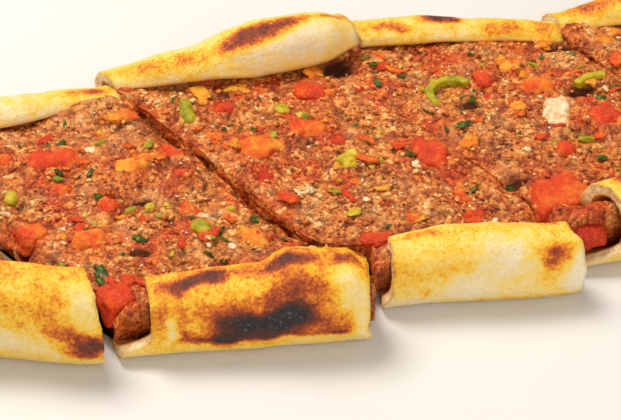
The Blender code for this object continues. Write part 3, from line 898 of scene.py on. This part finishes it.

# Hollows in the meat, darkened with painted shade: (x, y, half length, half depth, how deep).
Hollow = namedtuple("Hollow", "x y length depth deep")
HOLLOWS = (
    Hollow(9.3, 35.7, 4.0, 3.6, 2.2),
    Hollow(63.3, 12.2, 4.4, 2.0, 2.4),
    Hollow(38.4, -17.0, 3.6, 1.8, 2.0),
    Hollow(65.1, 31.0, 4.0, 2.2, 2.0),
    Hollow(-76.0, -13.0, 3.5, 1.4, 1.6),
    Hollow(-47.0, -5.0, 2.6, 1.3, 1.4),
    Hollow(-50.0, -22.0, 3.0, 1.2, 1.4),
    Hollow(-12.0, -27.0, 2.6, 1.2, 1.4),
    Hollow(36.0, 12.0, 2.8, 1.4, 1.6),
)

# How the meat lies along each cut: how far it closes the gap at its back and at its front end, how far its
# left side and its right side are pressed down there, and over what width.
Seam = namedtuple("Seam", "closed_back closed_front left_drop right_drop width")
SEAMS = (
    Seam(1.2, 1.2, 2.4, 3.6, 4.0),
    Seam(0.6, 0.6, 2.8, 3.6, 4.5),
    Seam(3.7, 2.6, 6.8, 1.8, 5.0),
    Seam(4.7, 3.0, 3.0, 4.0, 3.5),
    Seam(2.6, 2.6, 2.2, 3.0, 4.0),
    Seam(1.6, 1.6, 2.4, 3.6, 4.0),
)


def topping_plan():
    """(x, y, half length, half depth, kind) of each topping, in the bread's plan."""
    plan = []
    for name in sorted(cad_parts):
        kind = name.split("_")[2]
        if kind in ("bread", "meat"):
            continue
        low, high = [np.array(corner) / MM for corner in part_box(name)]
        centre, half = (low + high) / 2, (high - low) / 2
        plan.append((centre[0], centre[1] + MIDDLE_Y, half[0], half[1], kind))
    return plan


def domed(distance, reach):
    """1 at a crumb's middle, falling like a ball to 0 at its reach."""
    return np.sqrt(np.maximum(0.0, 1 - (distance / reach) ** 2))


def crumbled(points):
    """(height, painted shade, tone) of minced meat at points: round crumbs on rounder clumps, with painted
    shade in the gaps between them.
    """
    bend = [layered_noise(points / BEND_SIZE, 81 + n, 2) for n in range(3)]
    bent = points + BEND * np.stack(bend, axis=-1)
    clump, _, clump_tone = cell_noise(bent / CLUMP, 91)
    granule, beside, tone = cell_noise(bent / GRANULE, 95)
    rough = 0.75 + 0.5 * value_noise(points / ROUGH_SIZE, 87)
    clump_height = CLUMP_HEIGHT * (domed(clump, CLUMP_REACH) - DOME_SUNK)
    height = clump_height + rough * GRANULE_HEIGHT * (domed(granule, GRANULE_REACH) - DOME_SUNK)
    height = height + WAVE_HEIGHT * layered_noise(points / WAVE, 85, 2)
    height = height + GRIT_HEIGHT * value_noise(points / GRIT_SIZE, 103)
    # Painted shade in the narrow gaps between granules and at the edges of the clumps.
    gap = rough * ease((GAP_WIDTH - (beside - granule)) / GAP_WIDTH) * GRANULE_GAP_SHADE
    gap = gap + CLUMP_EDGE_SHADE * ease((clump - CLUMP_EDGE) / CLUMP_EDGE_WIDTH)
    return height, np.clip(gap, 0, MOST_GAP_SHADE), GRANULE_TONE * tone + CLUMP_TONE * clump_tone + LEAST_TONE


Reach = namedtuple("Reach", "out drop width")


def seam_reach(number, y, front, back):
    """How far the meat reaches out and is pressed down at the left and the right end of a slice."""
    along = (y - front) / (back - front)
    reach = []
    for cut, side in ((number - 1, "right_drop"), (number, "left_drop")):
        if not 0 <= cut < SLICES - 1:
            reach.append(Reach(np.zeros_like(y), np.zeros_like(y), 1.0))
            continue
        seam = SEAMS[cut]
        closed = seam.closed_front + (seam.closed_back - seam.closed_front) * along
        open_share = np.sqrt(np.clip(1 - closed / MEAT_GAP, 0, 1))
        wander = 0.9 + 0.35 * value_noise(np.stack([y / WANDER_SIZE, y * 0, y * 0 + cut], axis=-1), 89)
        reach.append(Reach(closed / 2, getattr(seam, side) * open_share * wander, seam.width))
    return reach


def meat_start(height, width, wall):
    """How far in from a rim's outside the meat starts: under the fold, if there is room for it."""
    fits = height - wall - 2 * MEAT_CLEARANCE > WALL + THIN_MEAT
    return np.where(fits, wall + POCKET_INSET, width - POCKET_INSET)


def beside_toppings(x, y, top, from_cut, plan):
    """(how red with juice the meat is, how much it is heaped against the toppings), both from 0 to 1."""
    place = np.stack([x, y, top], axis=-1)
    juice = JUICE_PATCH * ease((layered_noise(place / JUICE_PATCH_SIZE, 111) - JUICE_FROM) / JUICE_RISE)
    patchy = 0.6 + 0.4 * layered_noise(place / CUT_JUICE_SIZE, 115)
    juice = np.maximum(juice, CUT_JUICE * (1 - ease(from_cut / CUT_JUICE_REACH)) * patchy)
    banked = np.zeros_like(x)
    for centre_x, centre_y, half_x, half_y, kind in plan:
        reach = np.hypot((x - centre_x) / half_x, (y - centre_y) / half_y)
        banked = np.maximum(banked, bell((reach - 1.0) / BANK_SPREAD))
        if kind == "tomato":
            juice = np.maximum(juice, TOMATO_JUICE * bell(reach / JUICE_REACH))
    return juice, banked


def close_meat(mesh, top, index):
    """Closes a slice's meat below its top: crumbly walls at its two ends, low sides and an underside."""
    down = np.arange(1, MEAT_WALL_STEPS + 1)[:, None] / MEAT_WALL_STEPS
    foot, sole = {}, {}
    for row, out in ((0, -1.0), (-1, 1.0)):
        wall = np.repeat(top[row][None], MEAT_WALL_STEPS, axis=0)
        wall[..., 2] += (MEAT_FLOOR - wall[..., 2]) * down
        height, gap, tone = crumbled(wall)
        relief = np.minimum(height, CUT_FACE_HIGHEST) - CUT_FACE_SUNK
        wall[..., 0] += out * CUT_FACE_RELIEF * relief * ease(down * 3)
        foot[row] = mesh.add(wall, tone=tone * CUT_FACE_TONE, gap=gap, juice=CUT_FACE_JUICE)
        mesh.join(np.concatenate([index[row][None], foot[row]]))
    for column in (0, -1):
        line = top[1:-1, column].copy()
        line[:, 2] = MEAT_FLOOR
        # The underside gets painted shade.
        sole[column] = mesh.add(line, tone=SOLE_TONE, gap=SOLE_SHADE, juice=0.0)
        mesh.join(np.stack([index[1:-1, column], sole[column]], axis=1))
        for row, neighbour in ((0, 1), (-1, -2)):
            mesh.close(index[row, column], *foot[row][:, column], sole[column][row], index[neighbour, column])
    mesh.join(np.stack([sole[0], sole[-1]], axis=1))
    for row in (0, -1):
        mesh.close(*foot[row][-1], sole[-1][row], sole[0][row])


def make_meat(number, material, plan):
    """The meat of a slice. Gives back (x, y, z, juice) of the points that show between the rims."""
    first = MEAT_INSET if number else 1 - MEAT_TIP_SHARE
    last = 1 - MEAT_INSET if number < SLICES - 1 else MEAT_TIP_SHARE
    rows = int((last - first) * LENGTH / SLICES / MEAT_STEP)
    share = np.linspace(first, last, rows)[:, None]
    front, back = edges(number, share)
    sides = rims(number, share, front, back)
    front_start, back_start = [meat_start(*side) for side in sides]
    columns = int((back - front).max() / MEAT_STEP) - FOLD_COLUMNS
    across = np.linspace(0, 1, columns)[None, :]
    y = front + front_start + (back - back_start - front - front_start) * across

    left, right = seam_reach(number, y, front, back)
    x = cut_x(number, share, y)
    x = x - left.out * (1 - ease(share * 3)) + right.out * (1 - ease((1 - share) * 3))
    from_left, from_right = x - x[:1], x[-1:] - x
    pressed = left.drop * (1 - ease(from_left / left.width))
    pressed = pressed + right.drop * (1 - ease(from_right / right.width))

    waves = np.sin(WAVE_ALONG * x + WAVE_BEND * np.sin(WAVE_BEND_ACROSS * y))
    waves = waves + np.sin(WAVE_ACROSS * y + WAVE_SLANT * x)
    top = MEAT_TOP + MEAT_RELIEF * waves / 2
    height, gap, tone = crumbled(np.stack([x, y, top], axis=-1))
    juice, banked = beside_toppings(x, y, top, np.minimum(from_left, from_right), plan)
    top = top + height + BANK_HEIGHT * banked - pressed
    ragged = RAGGED * layered_noise(np.stack([x, y, 0 * x], axis=-1) / RAGGED_SIZE, 121, 2)
    for hollow in HOLLOWS:
        reach = ((x - hollow.x) / hollow.length) ** 2 + ((y - hollow.y) / hollow.depth) ** 2
        inside = bell(np.maximum(0, reach + ragged))
        top = top - hollow.deep * inside
        # Painted shade in the hollow, strongest at its middle.
        gap = np.maximum(gap, HOLLOW_SHADE * np.minimum(1.0, HOLLOW_SHADE_SPREAD * inside))
    for inward, (rim_height, width, wall) in zip((y - front, back - y), sides):
        ceiling = pocket_ceiling(inward, rim_height, width, wall)
        under_fold = 1 - ease((inward / width - FILLED_FOLD) / FOLD_EDGE)
        filled = ease(share / FOLD_FILLS_BY) * under_fold
        top = top + filled * np.maximum(0, ceiling - FOLD_AIR + 0.5 * height - top)
        top = np.where(inward < width - wall / 2, np.minimum(top, ceiling - LEAST_FOLD_AIR), top)
    surface = np.stack([x, y, np.maximum(top, MEAT_FLOOR + THINNEST_MEAT)], axis=-1)

    mesh = Mesh()
    index = mesh.add(surface, tone=tone, gap=gap, juice=juice)
    mesh.join(index)
    close_meat(mesh, surface, index)
    made = mesh.piece(f"minced_meat_{number + 1}", material)
    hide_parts(f"slice_{number + 1}_meat")
    shown = (y > front + sides[FRONT][1] + SHOWN_MARGIN) & (y < back - sides[BACK][1] - SHOWN_MARGIN)
    shown[:4] = shown[-4:] = False
    return np.concatenate([surface, juice[..., None]], axis=-1)[shown]


# --- toppings ---

TOPPING_VOXEL = 0.5
TOPPING_SMOOTHING = 3
SMOOTHING_STRENGTH = 0.6
WELD = 0.01
TOPPING_LUMP_SIZE, LUMP_SHARE = 4.5, 0.21
DENT_SIZE, DENT_SHARE = 1.6, 0.09
RIPENESS_SIZE, RIPENESS_CHANGE = 5.0, 0.25
STRIP_THICK = 2.2
STRIPS = ("slice_5_pepper_1", "slice_5_pepper_2")
TOPPING_BED = 5.2
TOPPING_FLATTENED = 0.86
# How ripe the toppings of each kind are: between two limits, and as given for those whose colour shows in
# particular, which are tomatoes that stayed orange and yellow, and ripe red ones.
RIPENESS = {"tomato": (0.25, 0.8), "pepper": (0.35, 0.7), "onion": (0.5, 0.5)}
RIPE = {
    "slice_3_tomato_1": 0.7,
    "slice_3_tomato_6": 0.1,
    "slice_4_tomato_1": 0.33,
    "slice_4_tomato_6": 0.6,
    "slice_5_tomato_4": 0.05,
    "slice_5_tomato_5": 0.56,
    "slice_5_tomato_7": 0.7,
    "slice_5_tomato_8": 0.95,
}


def softened(node):
    """Points, normals and faces of a CAD piece, in fine even quads with soft edges, in millimetres."""
    source = linked("softened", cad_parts[node].data.copy())
    solid = bmesh.new()
    solid.from_mesh(source.data)
    bmesh.ops.remove_doubles(solid, verts=solid.verts[:], dist=WELD * MM)
    solid.to_mesh(source.data)
    solid.free()
    even = source.modifiers.new("even", "REMESH")
    even.mode = "VOXEL"
    even.voxel_size = TOPPING_VOXEL * MM
    soft = source.modifiers.new("soft", "SMOOTH")
    soft.factor = SMOOTHING_STRENGTH
    soft.iterations = TOPPING_SMOOTHING
    bpy.context.view_layer.update()
    found = source.evaluated_get(bpy.context.evaluated_depsgraph_get()).to_mesh()
    points = np.array([v.co for v in found.vertices]) / MM
    normals = np.array([v.normal for v in found.vertices])
    faces = [list(p.vertices) for p in found.polygons]
    bpy.data.objects.remove(source)
    return points, normals, faces


def make_topping(node, seed, materials):
    """A baked topping: the softened CAD piece with lumps and dents. Chunks are a little flatter."""
    kind = node.split("_")[2]
    rng = random.Random(seed)
    points, normals, faces = softened(node)
    thickness = STRIP_THICK if node in STRIPS else np.ptp(points, axis=0).min()
    lumps = layered_noise(points / TOPPING_LUMP_SIZE, 200 + seed, 2) * LUMP_SHARE * thickness
    dents = layered_noise(points / DENT_SIZE, 300 + seed, 3) * DENT_SHARE * thickness
    points = points + normals * (lumps + dents)[:, None]
    if node not in STRIPS:
        points[:, 2] = TOPPING_BED + (points[:, 2] - TOPPING_BED) * TOPPING_FLATTENED
    ripe = RIPE.get(node, rng.uniform(*RIPENESS[kind]))
    ripeness = ripe + RIPENESS_CHANGE * layered_noise(points / RIPENESS_SIZE, 400 + seed, 2)
    mesh = Mesh()
    mesh.add(points + (0, MIDDLE_Y, 0), ripeness=ripeness)
    mesh.faces = faces
    made = mesh.piece(node.replace("slice_", "baked_"), materials[kind])
    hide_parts(node)
    return made


# --- small bits strewn over the meat, each kind one mesh ---

# How many bits of a kind are strewn, the radii of the smallest and of the largest along, across and up, how
# lumpy, how lobed and how curled they are, how much of each lies in the meat (below 0 it lies above it), how
# finely it is faceted, and its slot.
Kind = namedtuple("Kind", "count smallest largest lumps lobes curl sunk detail slot")
KINDS = {
    "meat_crumbs": Kind(2000, (0.3, 0.25, 0.25), (0.95, 0.7, 0.55), 0.75, 0.0, 0.0, 0.35, 2, "meat"),
    "tomato_bits": Kind(180, (0.8, 0.6, 0.4), (3.6, 2.3, 0.8), 0.9, 0.25, 0.0, 0.55, 3, "tomato"),
    "pepper_bits": Kind(60, (0.7, 0.5, 0.4), (1.7, 0.9, 0.6), 0.6, 0.1, 0.0, 0.4, 3, "pepper"),
    "onion_bits": Kind(60, (0.5, 0.4, 0.2), (1.4, 0.9, 0.35), 0.9, 0.3, 0.2, 0.55, 3, "onion"),
    "fat_flecks": Kind(700, (0.12, 0.11, 0.1), (0.38, 0.32, 0.2), 0.6, 0.0, 0.0, 0.1, 1, "onion"),
    # Fat flecks: bits of fat and also painted glints of oil, as tiny bright cream specks.
    "parsley": Kind(150, (0.45, 0.3, 0.09), (1.6, 0.9, 0.14), 0.3, 0.4, 0.5, -0.6, 3, "pepper"),
    "dark_specks": Kind(420, (0.14, 0.12, 0.1), (0.42, 0.3, 0.22), 0.5, 0.0, 0.0, 0.1, 1, "meat"),
}
# Bits whose place shows in particular: (x, y, half length, half depth, turn in degrees).
Bit = namedtuple("Bit", "x y length depth turn")
PLACED_BITS = {
    "pepper_bits": (
        Bit(-1, -20, 2.0, 1.7, 20), Bit(-3, -11, 1.8, 1.3, -30), Bit(-41, 16, 1.5, 1.2, 60),
        Bit(-8, 22, 1.9, 1.6, 90),
    ),
    "onion_bits": (
        Bit(-10, -9.6, 2.4, 1.6, 15), Bit(-54.7, 15.8, 1.6, 1.0, 40), Bit(-33.6, -13.3, 1.7, 0.9, 0),
        Bit(8.9, 26.9, 1.6, 1.0, -30),
    ),
    "tomato_bits": (
        Bit(-14.5, -11, 2.2, 2.6, 10), Bit(77, 31, 2.0, 1.8, 0), Bit(71, 11, 2.0, 1.7, 30),
        Bit(-60.4, -12.2, 2.4, 1.6, 20), Bit(-42.1, 8.9, 3.4, 1.4, 10), Bit(-15.9, 32.4, 2.6, 1.5, 0),
        Bit(-0.6, 28.8, 2.2, 1.5, -40), Bit(26.1, -27.7, 2.4, 1.6, 60), Bit(13.0, -24.9, 2.2, 1.4, 15),
    ),
    "parsley": (
        Bit(-59, -28, 3.6, 1.8, -60), Bit(-31, -19, 2.2, 1.1, 40), Bit(32, 5, 2.0, 1.2, -20),
        Bit(26, -17, 2.1, 1.3, 10), Bit(60, -13, 2.0, 1.1, 70), Bit(36, -17, 1.7, 1.2, 0),
    ),
}
STREW_SEED = 23
MOST_TILT = math.radians(25)
# The power by which sizes lean to the smallest.
MOSTLY_SMALL = 1.8
UNEVEN_SIZE = (0.8, 1.2)
BUMPS_OVER_BIT = 1.2
BIT_TONE = (0.25, 0.85)
BIT_JUICE = (0.5, 1.0)
BIT_RIPENESS = (0.05, 0.75)
# Painted shade on the lower part of a bit, where it touches the meat: how high up the ball it starts, and its
# most.
BIT_UNDER_SHADE, MOST_BIT_UNDER_SHADE = 0.4, 0.5


def unit_ball(detail):
    """Points and triangles of a ball of radius 1."""
    solid = bmesh.new()
    bmesh.ops.create_icosphere(solid, subdivisions=detail, radius=1.0)
    points = np.array([vertex.co for vertex in solid.verts])
    faces = np.array([[vertex.index for vertex in face.verts] for face in solid.faces])
    solid.free()
    return points, faces


def turned(first, second, angle):
    """Two coordinates of points, turned from the first towards the second."""
    return first * np.cos(angle) - second * np.sin(angle), first * np.sin(angle) + second * np.cos(angle)


def bit_shapes(kind, ball, sizes, offset):
    """Lumpy, lobed and curled bits of those sizes, made from a ball and each different by its offset."""
    bumps = layered_noise(ball[None] * BUMPS_OVER_BIT + offset, 501, 2)
    round_it = np.arctan2(ball[:, 1], ball[:, 0])[None]
    lobes = 1 + kind.lobes * np.sin(3 * round_it + offset[..., 0]) * np.sin(5 * round_it + offset[..., 1])
    shape = ball[None] * (1 + kind.lumps * bumps)[..., None]
    shape[..., :2] *= lobes[..., None]
    local = shape * sizes[:, None, :]
    curl = 0.6 * bumps + 0.5 * np.sin(1.5 * shape[..., 0] + offset[..., 2])
    local[..., 2] += kind.curl * sizes[:, :1] * curl
    return local


def make_bits(name, tops, material):
    """All the bits of one kind, lying on the meat's top points, as one mesh."""
    kind = KINDS[name]
    rng = np.random.default_rng(STREW_SEED + sorted(KINDS).index(name))
    placed = PLACED_BITS.get(name, ())
    nearest = [int(np.argmin(np.hypot(tops[:, 0] - bit.x, tops[:, 1] - bit.y))) for bit in placed]
    spots = tops[np.concatenate([rng.integers(len(tops), size=kind.count), nearest]).astype(int)]
    count = len(spots)
    smallest, largest = np.array(kind.smallest), np.array(kind.largest)
    sizes = smallest + (largest - smallest) * rng.random((count, 1)) ** MOSTLY_SMALL
    sizes = sizes * rng.uniform(*UNEVEN_SIZE, (count, 3))
    turn = rng.uniform(0, 2 * math.pi, (count, 1))
    tilt = rng.uniform(-MOST_TILT, MOST_TILT, (count, 1))
    for n, bit in enumerate(placed, kind.count):
        sizes[n, :2] = bit.length, bit.depth
        turn[n] = math.radians(bit.turn)
    ball, faces = unit_ball(kind.detail)
    local = bit_shapes(kind, ball, sizes, rng.uniform(0, 100, (count, 1, 3)))
    across, up = turned(local[..., 1], local[..., 2], tilt)
    x, y = turned(local[..., 0], across, turn)
    points = np.stack([x, y, up], axis=-1) + spots[:, None, :3]
    points[..., 2] += sizes[:, 2:] * (1 - 2 * kind.sunk)
    mesh = Mesh()
    index = mesh.add(
        points,
        tone=rng.uniform(*BIT_TONE, (count, 1)),
        # Painted shade on the lower part of each bit.
        gap=np.clip(BIT_UNDER_SHADE - ball[:, 2], 0, MOST_BIT_UNDER_SHADE),
        juice=spots[:, 3:4] * rng.uniform(*BIT_JUICE, (count, 1)),
        ripeness=rng.uniform(*BIT_RIPENESS, (count, 1)),
    )
    mesh.faces = index[:, faces].reshape(-1, 3).tolist()
    return mesh.piece(name, material)


# --- stage, light and camera ---

CAMERA_TARGET = Vector((-10.0, -14.1, 9.0)) * MM
CAMERA_AZIMUTH = math.radians(-13.5)
CAMERA_ELEVATION = math.radians(40.0)
CAMERA_DISTANCE = 465.2 * MM
CAMERA_LENS = 120.0
SENSOR_WIDTH = 36.0
NEAREST_SEEN = 0.01
FLOOR_SIZE = 6.0
SURROUNDINGS = (1.0, 0.98, 0.95, 1.0)
SURROUNDINGS_STRENGTH = 0.42
# Soft square lights that point at the origin.
Light = namedtuple("Light", "name place size power colour")
LIGHTS = (
    Light("key", (-0.25, 0.30, 0.75), 0.4, 7.2, (1.0, 0.97, 0.92)),
    Light("fill", (0.10, -0.75, 0.45), 0.7, 3.6, (1.0, 0.98, 0.95)),
)


def aim(thing, place, target):
    """Puts a camera or a light in its place, pointing at a target."""
    thing.location = place
    thing.rotation_euler = (Vector(target) - Vector(place)).to_track_quat("-Z", "Y").to_euler()


def make_camera():
    """The camera, where the photograph was taken from."""
    azimuth, elevation, level = CAMERA_AZIMUTH, CAMERA_ELEVATION, math.cos(CAMERA_ELEVATION)
    back = Vector((math.sin(azimuth) * level, -math.cos(azimuth) * level, math.sin(elevation)))
    data = bpy.data.cameras.new("camera")
    data.lens = CAMERA_LENS
    data.sensor_width = SENSOR_WIDTH
    data.clip_start = NEAREST_SEEN
    camera = linked("camera", data)
    aim(camera, CAMERA_TARGET + back * CAMERA_DISTANCE, CAMERA_TARGET)
    bpy.context.scene.camera = camera


def make_light(light):
    """One soft light."""
    data = bpy.data.lights.new(light.name, "AREA")
    data.size = light.size
    data.energy = light.power
    data.color = light.colour
    aim(linked(light.name, data), light.place, (0, 0, 0))


def make_stage():
    """The floor, the even light all round and the lights."""
    bpy.ops.mesh.primitive_plane_add(size=FLOOR_SIZE)
    floor = bpy.context.object
    floor.name = "floor"
    floor.data.materials.append(plain_material("pale_floor", 60.0, (214, 210, 204), (220, 216, 210), 0.7))
    world = bpy.data.worlds.new("studio")
    bpy.context.scene.world = world
    world.use_nodes = True
    background = world.node_tree.nodes["Background"]
    background.inputs["Color"].default_value = SURROUNDINGS
    background.inputs["Strength"].default_value = SURROUNDINGS_STRENGTH
    for light in LIGHTS:
        make_light(light)
    bpy.context.scene.view_settings.view_transform = "Standard"


def main():
    """Everything that is seen."""
    make_camera()
    make_stage()
    crust, meat = crust_material(), meat_material()
    materials = {"tomato": tomato_material(), "pepper": pepper_material(), "onion": onion_material()}
    plan = topping_plan()
    tops = []
    for number in range(SLICES):
        make_bread(number, crust)
        tops.append(make_meat(number, meat, plan))
    toppings = [name for name in sorted(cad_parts) if name.split("_")[2] in materials]
    for seed, node in enumerate(toppings):
        make_topping(node, seed, materials)
    tops = np.concatenate(tops)
    looks = {
        "meat_crumbs": meat,
        "tomato_bits": materials["tomato"],
        "pepper_bits": materials["pepper"],
        "onion_bits": materials["onion"],
        "fat_flecks": fat_and_glint_material(),
        "parsley": herb_material(),
        "dark_specks": plain_material("dark_specks", 0.6, (24, 16, 12), (72, 40, 24), 0.45),
    }
    for name, look in looks.items():
        make_bits(name, tops, look)


main()
